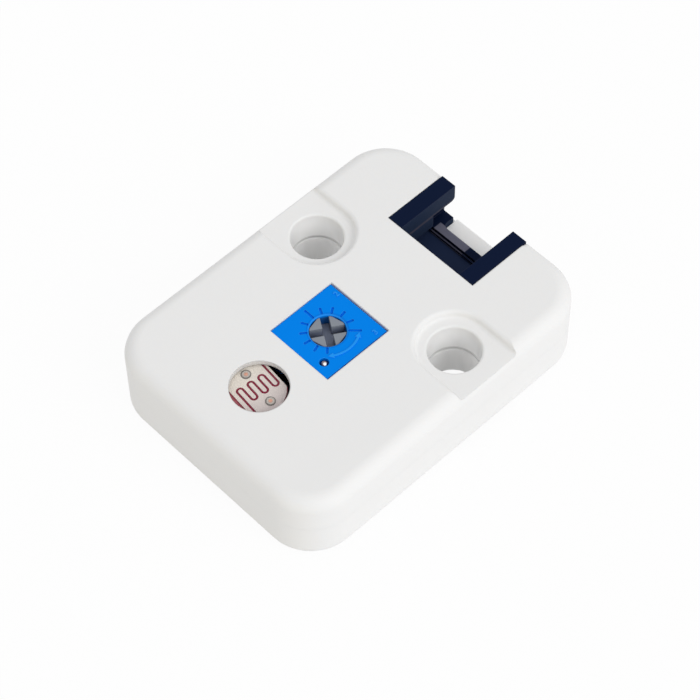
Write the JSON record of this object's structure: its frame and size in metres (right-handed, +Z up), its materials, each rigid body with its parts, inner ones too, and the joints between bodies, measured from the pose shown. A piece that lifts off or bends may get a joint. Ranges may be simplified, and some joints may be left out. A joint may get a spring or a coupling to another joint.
{
  "type": "light sensor module",
  "caption": "Small white clip-on light sensor with a photocell window, a screwdriver-turned threshold adjuster, two pin holes and a socket for a flat four-wire plug.",
  "frame": {"origin": "centre of the footprint on the flat underside", "axes": "+X across the housing, +Y along it towards the socket's mouth, +Z up through the photocell window"},
  "size_m": [0.024, 0.032, 0.0075],
  "materials": {
    "white_plastic": "fine matt moulded surface",
    "dark_plastic": "satin, almost black with a blue cast",
    "blue_plastic": "satin moulded surface",
    "grey_plastic": "satin moulded surface",
    "chip_epoxy": "matt moulding compound",
    "board_mask": "glossy solder mask",
    "ceramic": "fired ceramic, matt",
    "tan_ceramic": "fired ceramic, matt",
    "light_film": "dark red film under lacquer",
    "carbon_track": "printed resistive layer",
    "cell_metal": "dull evaporated metal under lacquer",
    "clear_lacquer": "clear lacquer",
    "tin_plate": "bright tin",
    "zinc_steel": "zinc-plated",
    "solder": "bright solder",
    "gold_plate": "thin gold plating",
    "black_rubber": "moulded rubber"
  },
  "bodies": {
    "housing": {"top_housing": "white_plastic", "bottom_housing": "white_plastic", "housing_screw_left": "zinc_steel", "housing_screw_right": "zinc_steel", "circuit_board": "board_mask", "solder_joints": "solder", "connector_shell": "dark_plastic", "connector_contact_1": "gold_plate", "connector_contact_2": "gold_plate", "connector_contact_3": "gold_plate", "connector_contact_4": "gold_plate", "connector_anchor_left": "tin_plate", "connector_anchor_right": "tin_plate", "photocell_substrate": "ceramic", "photocell_film": "light_film", "photocell_electrode_a": "cell_metal", "photocell_electrode_b": "cell_metal", "photocell_lead_a": "tin_plate", "photocell_lead_b": "tin_plate", "photocell_coat": "clear_lacquer", "trimmer_housing": "blue_plastic", "trimmer_element": "ceramic", "trimmer_track": "carbon_track", "trimmer_pin_1": "tin_plate", "trimmer_pin_2": "tin_plate", "trimmer_pin_3": "tin_plate", "comparator_chip": "chip_epoxy", "comparator_leads": "tin_plate", "resistor_1": "chip_epoxy", "resistor_2": "chip_epoxy", "resistor_3": "chip_epoxy", "resistor_4": "chip_epoxy", "capacitor_1": "tan_ceramic", "capacitor_2": "tan_ceramic"},
    "rotor": {"trimmer_rotor": "grey_plastic", "trimmer_wiper": "gold_plate", "trimmer_seal_ring": "black_rubber"}
  },
  "joints": [
    {"name": "rotor_turn", "type": "hinge", "parent": "housing", "child": "rotor", "pos_m": [-0.00018, -0.00222, 0.007], "axis": [0, 0, 1], "range_deg": [-120, 120]}
  ]
}
